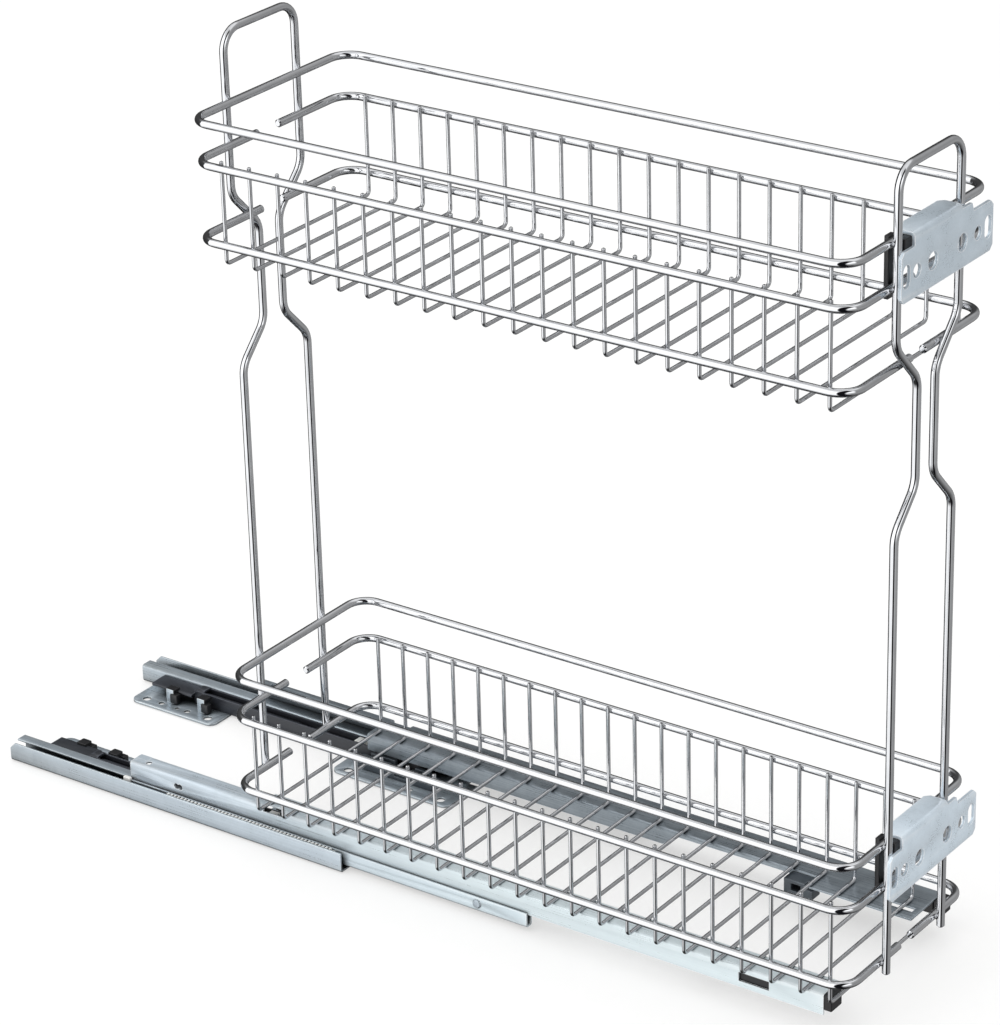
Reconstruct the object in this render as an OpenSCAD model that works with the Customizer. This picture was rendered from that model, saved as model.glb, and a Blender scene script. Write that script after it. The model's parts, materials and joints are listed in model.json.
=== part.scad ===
// Two-tier pull-out cabinet basket. Two chromed wire baskets stand between two
// bent wire frames and ride on a pair of telescopic slides that are screwed to
// the cabinet floor. Two sheet brackets carry the cabinet door.
// Millimetres. +Z is up and +X points out of the cabinet. The slides are drawn
// pulled out. The origin is on the floor, under the middle of the whole part.

/* [Wire] */
// Diameter of the frame and rail wire
rail_d = 5; // [4:0.5:6]
// Diameter of the cross wires
cross_d = 2.5; // [2:0.25:3.5]
// Bend radius of the rail corners, on the wire's centre
corner_r = 14; // [10:1:20]
// Bend radius of the cross wires, on the wire's centre
cross_r = 3; // [2.5:0.5:6]
// How far the cross wires stand past the centre of the middle rails
tip_rise = 3.2; // [2:0.2:6]
// Seam between two wires at a weld
weld = 0.02; // [0.01:0.01:0.05]

/* [Baskets] */
// Length of both baskets between the centres of their end rails
basket_len = 447.5; // [380:0.5:550]
// Width of the upper basket between the centres of its body rails
upper_w = 147; // [120:1:200]
// Width of the upper basket's top rail
upper_top_w = 149; // [120:1:200]
// Height of the upper basket's floor wires above the cabinet floor
upper_floor_z = 399.3; // [380:0.1:520]
// Rise of the upper basket's lower rail over its floor wires
upper_low = 13; // [9:0.1:20]
// Rise of the upper basket's middle rail over its floor wires
upper_mid = 61.1; // [40:0.1:70]
// Rise of the upper basket's top rail over its floor wires
upper_top = 87.2; // [80:0.1:110]
// Cross wires in the upper basket
upper_wires = 21; // [15:1:24]
// Distance from the upper basket's rear rail to its first cross wire
upper_first = 18.75; // [14:0.25:25]
// Distance from the upper basket's front rail to its last cross wire
upper_last = 14.25; // [13:0.25:25]
// Width of the lower basket between the centres of its body rails
lower_w = 137; // [120:1:200]
// Width of the lower basket's top rail
lower_top_w = 135; // [120:1:200]
// Rise of the lower basket's lower rail over its floor wires
lower_low = 14.85; // [9:0.05:20]
// Rise of the lower basket's middle rail over its floor wires
lower_mid = 64.3; // [40:0.1:70]
// Rise of the lower basket's top rail over its floor wires
lower_top = 91.7; // [80:0.1:110]
// Cross wires in the lower basket
lower_wires = 22; // [15:1:24]
// Distance from the lower basket's rear rail to its first cross wire
lower_first = 14.75; // [14:0.25:25]
// Distance from the lower basket's front rail to its last cross wire
lower_last = 12.75; // [12.5:0.25:25]
// Distance of the near half rails' rear ends from the middle of the basket
near_rear_end = 12; // [6:0.5:25]
// Distance of the far half rails' rear ends from the middle of the basket
far_rear_end = 7; // [6:0.5:25]
// Distance of the near half rails' front ends from the middle of the basket
near_front_end = 9; // [6:0.5:25]
// Distance of the far half rails' front ends from the middle of the basket
far_front_end = 4; // [3:0.5:25]

/* [Frames] */
// Height of the frame's crown over the upper basket's top rail, wire centres
crown_rise = 42.5; // [30:0.5:60]
// Bend radius of the crown corners
crown_r = 16; // [10:1:20]
// Spacing of the frame's legs at the upper basket
upper_leg_w = 66; // [60:1:80]
// Spacing of the frame's legs at the neck
neck_w = 19.6; // [12:0.2:30]
// Spacing of the frame's legs at the lower basket
lower_leg_w = 63.1; // [60:0.1:80]
// Height of the middle of the slope above the neck
neck_top_z = 414; // [400:0.5:430]
// Height of the middle of the slope below the neck
neck_bottom_z = 326.5; // [260:0.5:345]
// Bend radius of the slopes, on the wire's centre
slope_r = 15; // [9:3:18]
// Height of the legs' rounded ends above the floor
leg_end_z = 35.5; // [32:0.5:60]

/* [Door brackets] */
// Thickness of the bracket sheet
bracket_t = 2; // [1.5:0.25:2.5]
// Width of the bracket
bracket_w = 100; // [96:1:120]
// Height of the bracket's ears
bracket_h = 29.5; // [24:0.5:36]
// Distance from the top rail's centre down to the ears' upper edge
ear_drop = 3.25; // [3:0.25:6]
// Cut across the ears' corners
ear_cut = 3; // [1:0.5:5]
// Depth of the flange behind the bracket's front face
flange_depth = 14.5; // [13:0.5:18]
// Distance of the long holes from the bracket's middle
slot_y = 44.4; // [43:0.1:46]
// Width of the long holes
slot_w = 6; // [4:0.5:7]
// Length of the long holes
slot_len = 11; // [9:0.5:14]
// Distance of the small screw holes from the bracket's middle
small_hole_y = 33.2; // [30:0.1:35]
// Diameter of the small screw holes
small_hole_d = 6.6; // [4:0.2:7]
// Distance of the large screw holes from the bracket's middle
large_hole_y = 16.1; // [14:0.1:20]
// Diameter of the large screw holes
large_hole_d = 8.4; // [6:0.2:9]

/* [Slides] */
// Thickness of the slide sheet
sheet_t = 1.2; // [1:0.1:1.4]
// Offset of the slides and door brackets to the side of the baskets
slide_shift = 13; // [0:0.5:14]
// Width over the two cabinet rails
slides_w = 152; // [150:1:170]
// Length of the cabinet rails
cabinet_len = 276; // [270:1:300]
// Height of the cabinet rails' outer wall
cabinet_h = 13.5; // [13:0.1:14]
// Width of the cabinet rails' channel
cabinet_w = 16; // [15.8:0.1:18]
// Length of the middle rails
middle_len = 320; // [310:1:340]
// Height of the middle rails' foot above the floor
middle_z = 3; // [2.9:0.05:3.2]
// Height of the middle rails' outer wall
middle_h = 10; // [9.6:0.1:10.4]
// Length of the drawer rails
drawer_len = 524; // [500:1:600]
// How far the drawer rails stop behind the door brackets' front face
front_gap = 31.3; // [20:0.1:50]
// Height of the drawer rails' top face above the floor
drawer_z = 25.4; // [25:0.1:30]
// Height of the drawer rails' outer wall
drawer_h = 14; // [13.8:0.1:14]
// Width of the drawer rails' narrow rear flange
narrow_w = 11.7; // [10:0.1:13]
// Width of the far drawer rail's flange under the basket
far_w = 26; // [22:0.5:30]
// Width of the near drawer rail's flange under the basket
near_w = 18; // [14:0.5:20]
// Width of the far drawer rail's flange ahead of its catch
front_w = 39; // [32:0.5:40]
// Distance of the skirt's front end behind the drawer rails' front end
skirt_stop = 176; // [150:1:220]
// Distance of the catches behind the drawer rails' front end
catch_stop = 91; // [80:1:100]
// Length of the catches
catch_len = 20; // [16:1:24]
// Length of the narrow rear flange
narrow_len = 107; // [60:1:130]
// Travel of the baskets from fully out to closed
travel = 330; // [250:5:335]
// How far the cabinet rails reach behind the drawer rails, pulled out
cabinet_lag = 100; // [94:1:104]
// How far the middle rails reach behind the drawer rails, pulled out
middle_lag = 5; // [0:0.5:10]
// Running gap between the sliding pieces
run = 0.2; // [0.15:0.05:0.25]

/* [Rollers] */
// Diameter of the nylon rollers under the drawer rails
roller_d = 7; // [6.8:0.05:7.05]
// Rollers in each inner cage
rollers = 8; // [4:1:8]
// Pitch of the rollers in the inner cages
roller_pitch = 18; // [12:0.5:18]
// Diameter of the steel pins that carry the middle rails
pin_d = 1.7; // [1.5:0.05:1.7]
// Pins in each outer cage
pins = 12; // [6:1:12]
// Pitch of the pins in the outer cages
pin_pitch = 9; // [5:0.5:9]

/* [Floor plates] */
// Thickness of the floor plates
plate_t = 1.5; // [1.2:0.1:1.8]
// Length of the rear floor plates
rear_plate_len = 72; // [70:1:90]
// Length of the front floor plates
front_plate_len = 95; // [80:1:110]
// Width of the rear floor plates
rear_plate_w = 28; // [26:0.5:32]
// Width of the front floor plates
front_plate_w = 34; // [33:0.5:38]
// Diameter of the large fixing holes
fix_d = 6; // [5:0.25:6.5]
// Diameter of the middle fixing holes
mid_fix_d = 4.5; // [4:0.25:5]
// Diameter of the small fixing holes
small_fix_d = 3.5; // [3:0.25:4]
// Rounding of the floor plates' free corners
plate_r = 6; // [4:0.5:8]
// Width of the bent-up tabs
tab_w = 6; // [5:0.5:8]
// Height of the bent-up tabs over the plate
tab_h = 8.6; // [8.4:0.1:9]
// Reach of the tabs' hooks over the damper cover
hook = 5; // [4:0.5:6]

/* [Dampers] */
// Length of the damper housings
housing_len = 230; // [225:1:240]
// Width of the damper housings
housing_w = 9.2; // [8.8:0.2:10]
// Height of the damper housings
housing_h = 10; // [9.6:0.1:10]
// Wall of the damper housings
housing_t = 1.2; // [1:0.1:1.4]
// Length of the flat cover behind the damper cylinders
cover_len = 34; // [28:1:38]
// Width of the flat cover
cover_w = 13.4; // [12:0.2:14]
// Thickness of the flat cover
cover_t = 2.4; // [2:0.1:3]
// Length of the damper cylinders
damper_len = 86; // [80:1:95]
// Diameter of the damper rods
rod_d = 2.4; // [2:0.1:3]
// Stroke of the dampers
stroke = 45; // [30:1:45]
// Length of the damper triggers
trigger_len = 20; // [16:1:24]

/* [Hidden] */
$fn = 48;

chrome = [0.80, 0.81, 0.83];
zinc = [0.72, 0.76, 0.79];
black = [0.07, 0.07, 0.08];
dark = [0.22, 0.20, 0.25];
grey = [0.42, 0.46, 0.50];
white = [0.93, 0.93, 0.91];

// wires
wire_gap = (rail_d + cross_d) / 2 + weld;
slope = atan(3 / 4);
set = slope_r / 3;
frame_x = basket_len / 2 + rail_d + weld;
lower_floor_z = drawer_z + cross_d / 2 + weld;
upper_rail_z = upper_floor_z + upper_top;
lower_rail_z = lower_floor_z + lower_top;
crown_z = upper_rail_z + crown_rise;
upper_run = (upper_leg_w - neck_w) / 2 / 0.6;
lower_run = (lower_leg_w - neck_w) / 2 / 0.6;

// brackets
plate_back = frame_x + rail_d / 2 + weld;
front_x = plate_back + bracket_t;
flange_z = rail_d / 2 + weld + bracket_t;
fold_r = bracket_t + 1;
flange_far = min(upper_leg_w, lower_leg_w) / 2 - rail_d / 2 - 0.3 - slide_shift;
flange_near = -36;
clip_gap = 0.05;

// slides: side distances run from the middle of the two slides
half_w = slides_w / 2;
bend_r = sheet_t;
wall_out = half_w - sheet_t;
middle_out = wall_out - 2.8;
drawer_out = middle_out - 2;
foot_w = 6;
far_edge = drawer_out - far_w;
front_edge = drawer_out - front_w;
skirt_z = cabinet_h + run;
cabinet_in = half_w - cabinet_w;
drawer_rear = front_x - front_gap - drawer_len;
drawer_front = drawer_rear + drawer_len;
cabinet_rear = drawer_rear - cabinet_lag;
cabinet_front = cabinet_rear + cabinet_len;
middle_rear = drawer_rear - middle_lag;
middle_front = middle_rear + middle_len;
middle_top = middle_z + middle_h;
lip_z = cabinet_h - 1.1;
lip_end = drawer_out - sheet_t - run - 0.1;
wall_bottom = drawer_z - drawer_h;
wide_rear = drawer_rear + narrow_len;
skirt_front = drawer_front - skirt_stop;
catch_x = drawer_front - catch_stop;
rivet_x = middle_front - 37;
rivet_z = middle_z + 5.5;
rivet_d = 3;

// cages
roller_z = (middle_z + sheet_t + wall_bottom) / 2;
inner_cage_len = (rollers - 1) * roller_pitch + roller_d + 5;
inner_cage_x = middle_rear + travel / 4 + 3;
pin_z = (sheet_t + middle_z) / 2;
outer_cage_len = (pins - 1) * pin_pitch + pin_d + 9;
outer_cage_x = middle_rear + travel / 4 - 18;
channel_in = middle_out - foot_w;

// floor plates and dampers
rear_plate_x = cabinet_rear + 12;
front_plate_x = cabinet_front - front_plate_len + 8;
plate_in = cabinet_in - weld;
fix_y = plate_in - rear_plate_w + 7;
tab_y = plate_in - 17.5;
tabs = [24, 51];
housing_x = cabinet_rear + 20;
housing_out = cabinet_in - run;
damper_y = housing_out - housing_w / 2;
damper_d = housing_w - 2 * housing_t - 0.4;
damper_z = plate_t + weld + housing_t + 0.15 + damper_d / 2;
damper_x = housing_x + cover_len + housing_t + run;
damper_end = damper_x + damper_len;
trigger_x = damper_end + stroke + 3;

// middle of the outline, which sits over the origin
side_high = slide_shift + half_w;
side_low = min(slide_shift - half_w, -max(upper_top_w, upper_w) / 2 - rail_d / 2);
mid_x = (front_x + cabinet_rear) / 2;
mid_y = (side_high + side_low) / 2;

// direction from one point to the next
function unit(v) = v / norm(v);
function left_of(v) = [-v[1], v[0]];
function heading(a, b) = atan2(b[1] - a[1], b[0] - a[0]);
function wrap(a) = a > 180 ? a - 360 : a < -180 ? a + 360 : a;

// rounded corner of a bent strip, on the side that lies off to its left
function fold(a, b, c, r, off) =
  let (h = heading(a, b), w = wrap(heading(b, c) - h), s = sign(w), u = unit(b - a),
       m = b - u * r * tan(abs(w) / 2) + left_of(u) * s * r)
  [for (k = [0 : 4]) m + (r - s * off) * [cos(h - s * 90 + w * k / 4), sin(h - s * 90 + w * k / 4)]];

// one edge of a bent strip that follows the points p
function edge(p, r, off) =
  let (n = len(p), u = unit(p[1] - p[0]), v = unit(p[n - 1] - p[n - 2]))
  concat([p[0] + left_of(u) * off],
         [for (i = [1 : n - 2]) each fold(p[i - 1], p[i], p[i + 1], r, off)],
         [p[n - 1] + left_of(v) * off]);
function back_to_front(p) = [for (i = [len(p) - 1 : -1 : 0]) p[i]];

// puts the middle of the outline over the origin
module placed() {
  translate([-mid_x, -mid_y, 0]) children();
}

// far slide as drawn, near slide as its mirror image
module side(s) {
  placed() translate([0, slide_shift, 0]) mirror([0, s < 0 ? 1 : 0, 0]) children();
}

// sheet channel: profile in width and height, run along the length
module channel(p, from, to, t = sheet_t) {
  translate([from, 0, 0]) rotate([90, 0, 90]) linear_extrude(to - from)
    polygon(concat(edge(p, bend_r, t / 2), back_to_front(edge(p, bend_r, -t / 2))));
}

// round bend of wire, trimmed to its angle
module bend(w, r, d) {
  difference() {
    rotate_extrude(angle = 90) translate([r, 0]) circle(d = d);
    if (w < 90) rotate([0, 0, w]) translate([0, 0, -d]) cube([2 * r + d, 2 * r + d, 2 * d]);
  }
}

// cut end of a wire, chamfered by 1 mm
module tip(d) {
  rotate([0, 90, 0]) cylinder(d1 = d, d2 = d - 2, h = 1);
}

// wire laid end to end along +X: straight lengths, signed turns and bend radii
module wire(len, turn, r, d, tips = [false, false], i = 0) {
  rotate([0, 90, 0]) cylinder(d = d, h = len[i]);
  if (i == 0 && tips[0]) mirror([1, 0, 0]) tip(d);
  if (i == len(turn) && tips[1]) translate([len[i], 0, 0]) tip(d);
  if (i < len(turn)) {
    s = sign(turn[i]);
    translate([len[i], s * r[i], 0]) {
      mirror([0, s > 0 ? 0 : 1, 0]) rotate([0, 0, -90]) bend(abs(turn[i]), r[i], d);
      rotate([0, 0, turn[i]]) translate([0, -s * r[i], 0]) wire(len, turn, r, d, tips, i + 1);
    }
  }
}

// closed rail, width by length
module loop(w) {
  l = basket_len - 2 * corner_r;
  b = w - 2 * corner_r;
  translate([-l / 2, -w / 2, 0])
    wire([l, b, l, b], [90, 90, 90, 90], [corner_r, corner_r, corner_r, corner_r], rail_d);
}

// half rail, open in the middle of both ends; s is -1 for the near half
module half_rail(w, s, rear_end, front_end) {
  l = basket_len - 2 * corner_r;
  mirror([0, s > 0 ? 1 : 0, 0]) translate([-basket_len / 2, -rear_end - 1, 0]) rotate([0, 0, -90])
    wire([w / 2 - corner_r - rear_end - 1, l, w / 2 - corner_r - front_end - 1], [90, 90],
         [corner_r, corner_r], rail_d, [true, true]);
}

// row of U-shaped cross wires, seated inside the rails
module cross_wires(n, w, rise, first, last) {
  leg = w / 2 - wire_gap;
  pitch = (basket_len - first - last) / (n - 1);
  for (i = [0 : n - 1])
    translate([-basket_len / 2 + first + i * pitch, -leg, rise + tip_rise]) rotate([90, 0, 90])
      rotate([0, 0, -90])
        wire([rise + tip_rise - cross_r, 2 * (leg - cross_r), rise + tip_rise - cross_r], [90, 90],
             [cross_r, cross_r], cross_d);
}

// hairpin frame with a drawn-in neck, from the crown down both legs
module frame() {
  upper_z = neck_top_z + upper_run * 0.4;
  neck_high = neck_top_z - upper_run * 0.4;
  neck_low = neck_bottom_z + lower_run * 0.4;
  lower_z = neck_bottom_z - lower_run * 0.4;
  for (s = [0, 1]) mirror([0, s, 0]) translate([0, 0, crown_z]) rotate([90, 0, 90])
    wire([upper_leg_w / 2 - crown_r, crown_z - crown_r - upper_z - set, upper_run - 2 * set,
          neck_high - neck_low - 2 * set, lower_run - 2 * set, lower_z - set - leg_end_z - 1],
         [-90, -slope, slope, slope, -slope], [crown_r, slope_r, slope_r, slope_r, slope_r], rail_d,
         [false, true]);
}

// Baskets
module upper_rail(rise) {
  placed() translate([0, 0, upper_floor_z + rise]) children();
}
module lower_rail(rise) {
  placed() translate([0, 0, lower_floor_z + rise]) children();
}
module upper_top_rail() color(chrome) upper_rail(upper_top) loop(upper_top_w);
module upper_near_middle_rail() color(chrome) upper_rail(upper_mid)
  half_rail(upper_w, -1, near_rear_end, near_front_end);
module upper_far_middle_rail() color(chrome) upper_rail(upper_mid)
  half_rail(upper_w, 1, far_rear_end, far_front_end);
module upper_near_lower_rail() color(chrome) upper_rail(upper_low)
  half_rail(upper_w, -1, near_rear_end, near_front_end);
module upper_far_lower_rail() color(chrome) upper_rail(upper_low)
  half_rail(upper_w, 1, far_rear_end, far_front_end);
module upper_cross_wires() color(chrome) upper_rail(0)
  cross_wires(upper_wires, upper_w, upper_mid, upper_first, upper_last);
module lower_top_rail() color(chrome) lower_rail(lower_top) loop(lower_top_w);
module lower_near_middle_rail() color(chrome) lower_rail(lower_mid)
  half_rail(lower_w, -1, near_rear_end, near_front_end);
module lower_far_middle_rail() color(chrome) lower_rail(lower_mid)
  half_rail(lower_w, 1, far_rear_end, far_front_end);
module lower_near_lower_rail() color(chrome) lower_rail(lower_low)
  half_rail(lower_w, -1, near_rear_end, near_front_end);
module lower_far_lower_rail() color(chrome) lower_rail(lower_low)
  half_rail(lower_w, 1, far_rear_end, far_front_end);
module lower_cross_wires() color(chrome) lower_rail(0)
  cross_wires(lower_wires, lower_w, lower_mid, lower_first, lower_last);

// Frames
module rear_frame() color(chrome) placed() translate([-frame_x, 0, 0]) frame();
module front_frame() color(chrome) placed() translate([frame_x, 0, 0]) frame();

// Door bracket: eared plate in front of the legs, folded back over the top rail
module bracket(rail_z) {
  hole_z = -ear_drop - bracket_h / 2;
  placed() translate([0, slide_shift, rail_z]) difference() {
    union() {
      translate([plate_back, 0, 0]) rotate([90, 0, 90]) linear_extrude(bracket_t) {
        polygon([[-bracket_w / 2 + ear_cut, -ear_drop - bracket_h], [bracket_w / 2 - ear_cut, -ear_drop - bracket_h],
                 [bracket_w / 2, -ear_drop - bracket_h + ear_cut], [bracket_w / 2, -ear_drop - ear_cut],
                 [bracket_w / 2 - ear_cut, -ear_drop], [large_hole_y + 12, -ear_drop],
                 [large_hole_y + 10, -ear_drop + 5], [flange_far, -ear_drop + 5],
                 [flange_far, flange_z - fold_r], [flange_near, flange_z - fold_r],
                 [flange_near, -ear_drop], [-bracket_w / 2 + ear_cut, -ear_drop],
                 [-bracket_w / 2, -ear_drop - ear_cut], [-bracket_w / 2, -ear_drop - bracket_h + ear_cut]]);
      }
      translate([front_x - fold_r, flange_near, flange_z - fold_r]) rotate([-90, 0, 0]) mirror([0, 1, 0])
        fold_round(flange_far - flange_near);
      translate([0, 0, flange_z - bracket_t]) linear_extrude(bracket_t)
        polygon([[front_x - fold_r, flange_near], [front_x - fold_r, flange_far],
                 [front_x - flange_depth + 3, flange_far], [front_x - flange_depth, flange_far - 3],
                 [front_x - flange_depth, flange_near + 12], [front_x - flange_depth + 6, flange_near]]);
    }
    for (s = [-1, 1]) {
      for (e = [-1, 1]) translate([plate_back - 1, s * slot_y, hole_z + e * (slot_len - slot_w) / 2])
        rotate([0, 90, 0]) cylinder(d = slot_w, h = bracket_t + 2);
      translate([plate_back - 1, s * slot_y - slot_w / 2, hole_z - (slot_len - slot_w) / 2])
        cube([bracket_t + 2, slot_w, slot_len - slot_w]);
      translate([plate_back - 1, s * small_hole_y, hole_z]) rotate([0, 90, 0])
        cylinder(d = small_hole_d, h = bracket_t + 2);
      translate([plate_back - 1, s * large_hole_y, hole_z]) rotate([0, 90, 0])
        cylinder(d = large_hole_d, h = bracket_t + 2);
    }
  }
}

// quarter round of the fold, as long as the flange is wide
module fold_round(l) {
  linear_extrude(l) intersection() {
    difference() {
      circle(r = fold_r);
      circle(r = fold_r - bracket_t);
    }
    square(2 * fold_r);
  }
}
module upper_door_bracket() color(zinc) bracket(upper_rail_z);
module lower_door_bracket() color(zinc) bracket(lower_rail_z);

// Bracket clips: a tall one inside the basket's end and a block under the flange
module clips(rail_z, drop, leg_w) {
  back = basket_len / 2 - rail_d / 2 - clip_gap;
  placed() translate([0, 0, rail_z]) {
    translate([back - 3, -leg_w / 2 - 1, -drop - 8]) cube([3, 7, drop + 8 + flange_z - bracket_t - clip_gap]);
    translate([0, flange_far + slide_shift - 1, 0]) rotate([90, 0, 0]) linear_extrude(11)
      polygon([[frame_x - rail_d / 2 + clip_gap, -8], [plate_back - clip_gap, -8],
               [plate_back - clip_gap, flange_z - fold_r - clip_gap],
               [front_x - fold_r - clip_gap, flange_z - bracket_t - clip_gap],
               [frame_x - rail_d / 2 + clip_gap, flange_z - bracket_t - clip_gap]]);
  }
}
module upper_bracket_clips() color(black) clips(upper_rail_z, upper_top - upper_mid, upper_leg_w);
module lower_bracket_clips() color(black) clips(lower_rail_z, lower_top - lower_mid, lower_leg_w);

// Cabinet rail: base, high outer wall, and inner wall with its lip turned out
module cabinet_rail() {
  difference() {
    channel([[lip_end, lip_z - sheet_t / 2], [cabinet_in + sheet_t / 2, lip_z - sheet_t / 2],
             [cabinet_in + sheet_t / 2, sheet_t / 2], [half_w - sheet_t / 2, sheet_t / 2],
             [half_w - sheet_t / 2, cabinet_h]], cabinet_rear, cabinet_front);
    translate([cabinet_rear, half_w - 2 * sheet_t, cabinet_h]) rotate([0, 45, 0])
      translate([-3, 0, -3]) cube([6, 3 * sheet_t, 6]);
  }
}
module near_cabinet_rail() color(zinc) side(-1) cabinet_rail();
module far_cabinet_rail() color(zinc) side(1) cabinet_rail();

// Middle rail: a low channel that runs under the cabinet rail's lip
module middle_rail() {
  difference() {
    channel([[middle_out - sheet_t / 2, middle_top], [middle_out - sheet_t / 2, middle_z + sheet_t / 2],
             [channel_in + sheet_t / 2, middle_z + sheet_t / 2],
             [channel_in + sheet_t / 2, lip_z - sheet_t - 2 * run]], middle_rear, middle_front);
    translate([rivet_x, middle_out - 2 * sheet_t, rivet_z]) rotate([-90, 0, 0]) cylinder(d = rivet_d, h = 3 * sheet_t);
  }
}
module rivet() {
  translate([rivet_x, middle_out - sheet_t, rivet_z]) rotate([-90, 0, 0]) {
    cylinder(d = rivet_d - 2 * weld, h = sheet_t + weld);
    translate([0, 0, sheet_t + weld]) cylinder(d1 = 6.5, d2 = 5, h = 1);
  }
}
module near_middle_rail() color(zinc) side(-1) middle_rail();
module far_middle_rail() color(zinc) side(1) middle_rail();
module near_rivet() color(zinc) side(-1) rivet();
module far_rivet() color(zinc) side(1) rivet();

// Drawer rail: outer wall and top flange, with a skirt under the basket
module drawer_rail(edge_y, front_y) {
  out = drawer_out - sheet_t / 2;
  top = drawer_z - sheet_t / 2;
  difference() {
    union() {
      channel([[out, wall_bottom], [out, top], [drawer_out - narrow_w, top]], drawer_rear, wide_rear);
      channel([[out, wall_bottom], [out, top], [edge_y + sheet_t / 2, top],
               [edge_y + sheet_t / 2, skirt_z]], wide_rear, skirt_front);
      channel([[out, wall_bottom], [out, top], [edge_y + sheet_t / 2, top],
               [edge_y + sheet_t / 2, drawer_z - 3.5]], skirt_front, catch_x + catch_len);
      channel([[out, wall_bottom], [out, top], [front_y, top]], catch_x + catch_len, drawer_front);
    }
    // slanting ends of the skirt and of the rear flange
    translate([skirt_front, edge_y - 1, skirt_z]) rotate([-90, 0, 0]) linear_extrude(sheet_t + 2)
      polygon([[1, skirt_z - drawer_z + 4], [1, 1], [-11, 1]]);
    translate([drawer_rear, drawer_out - narrow_w, drawer_z - 2 * sheet_t]) linear_extrude(3 * sheet_t)
      polygon([[-1, -1], [9, -1], [-1, 5]]);
    // oval hole and hook hole near the rear end
    for (e = [-1.5, 1.5]) translate([drawer_rear + 40 + e, drawer_out - 2 * sheet_t, wall_bottom + drawer_h / 2])
      rotate([-90, 0, 0]) cylinder(d = 4, h = 3 * sheet_t);
    translate([drawer_rear + 12, drawer_out - 5, drawer_z - 2 * sheet_t]) cylinder(d = 4, h = 3 * sheet_t);
    // notch in the folded edge behind the basket
    translate([wide_rear + 3, drawer_out - 4, drawer_z - 4]) cube([16, 8, 8]);
    // window in the wall, and a slot in the flange where it is wide
    translate([drawer_front - 58, drawer_out - 2 * sheet_t, wall_bottom + 4]) cube([21, 3 * sheet_t, 6]);
    translate([drawer_front - 20, front_edge + 8, drawer_z - 2 * sheet_t]) cube([16, 4.5, 3 * sheet_t]);
  }
}
module near_drawer_rail() color(zinc) side(-1) drawer_rail(drawer_out - near_w, drawer_out - near_w);
module far_drawer_rail() color(zinc) side(1) drawer_rail(far_edge, front_edge);

// End plug: black cap with a tongue pushed in under the flange
module end_plug() {
  translate([drawer_front + weld, drawer_out - 13, drawer_z - 10.6]) cube([12.5, 13, 10]);
  translate([drawer_front - 13, drawer_out - sheet_t - run - 8, drawer_z - 9])
    cube([13 + 2 * weld, 8, 9 - sheet_t - run]);
}
module near_end_plug() color(black) side(-1) end_plug();
module far_end_plug() color(black) side(1) end_plug();

// Catch with a square window, held against the lip of the drawer rail's flange
module stop_block(y, w) {
  h = drawer_z - sheet_t - skirt_z - weld;
  translate([catch_x, y, skirt_z]) difference() {
    cube([catch_len, w, h]);
    translate([5, -1, 3]) cube([7, w + 2, 5]);
    translate([catch_len - 5, -1, h - 4]) cube([6, w / 2, 5]);
  }
}
module near_stop_block() color(grey) side(-1) stop_block(drawer_out - near_w + sheet_t + weld, 8);
module far_stop_block() color(grey) side(1) stop_block(far_edge - 10 - weld, 10);

// Bumper under the rear end of the drawer rail's wall
module rail_bumper() {
  translate([drawer_rear - 3, drawer_out - sheet_t, roller_z + 1.2])
    cube([9, sheet_t + 0.3, wall_bottom - roller_z - 1.2 - weld]);
}
module near_rail_bumper() color(white) side(-1) rail_bumper();
module far_rail_bumper() color(white) side(1) rail_bumper();

// Outer cage: comb between the outer walls with pin windows in its foot
module outer_cage() {
  difference() {
    union() {
      translate([outer_cage_x, middle_out + run, sheet_t + run])
        cube([outer_cage_len, wall_out - middle_out - 2 * run, cabinet_h - sheet_t - run - 1.5]);
      translate([outer_cage_x, channel_in + 0.5, sheet_t + run])
        cube([outer_cage_len, middle_out - channel_in, middle_z - sheet_t - 2 * run]);
    }
    for (i = [0 : pins - 1]) {
      translate([outer_cage_x + 3 + i * pin_pitch, channel_in + 1, 0])
        cube([pin_d + 2 * run, foot_w - 1.4, middle_z]);
      translate([outer_cage_x + 5 + i * pin_pitch, middle_out, middle_z + 2]) cube([3, 4, cabinet_h]);
    }
  }
}
module pin_row() {
  for (i = [0 : pins - 1])
    translate([outer_cage_x + 3 + run + pin_d / 2 + i * pin_pitch, channel_in + 1 + run, pin_z])
      rotate([-90, 0, 0]) cylinder(d = pin_d, h = foot_w - 1.4 - 2 * run);
}
module near_outer_cage() color(white) side(-1) outer_cage();
module far_outer_cage() color(white) side(1) outer_cage();
module near_pins() color(chrome) side(-1) pin_row();
module far_pins() color(chrome) side(1) pin_row();

// Inner cage: strip with roller windows, inside the middle rail's channel
module inner_cage() {
  mid = (channel_in + middle_out) / 2;
  difference() {
    translate([inner_cage_x, drawer_out - sheet_t - 1, roller_z - 2.2]) cube([inner_cage_len, 2.6, 4.4]);
    for (i = [0 : rollers - 1])
      translate([inner_cage_x + 2.3 + i * roller_pitch, drawer_out - sheet_t - 0.4, roller_z - 3])
        cube([roller_d + 0.4, 1.4, 6]);
  }
}
module roller_row() {
  for (i = [0 : rollers - 1])
    translate([inner_cage_x + 2.5 + roller_d / 2 + i * roller_pitch, drawer_out - sheet_t - 0.3, roller_z])
      rotate([-90, 0, 0]) cylinder(d = roller_d, h = sheet_t);
}
module near_inner_cage() color(white) side(-1) inner_cage();
module far_inner_cage() color(white) side(1) inner_cage();
module near_rollers() color(white) side(-1) roller_row();
module far_rollers() color(white) side(1) roller_row();

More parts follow.
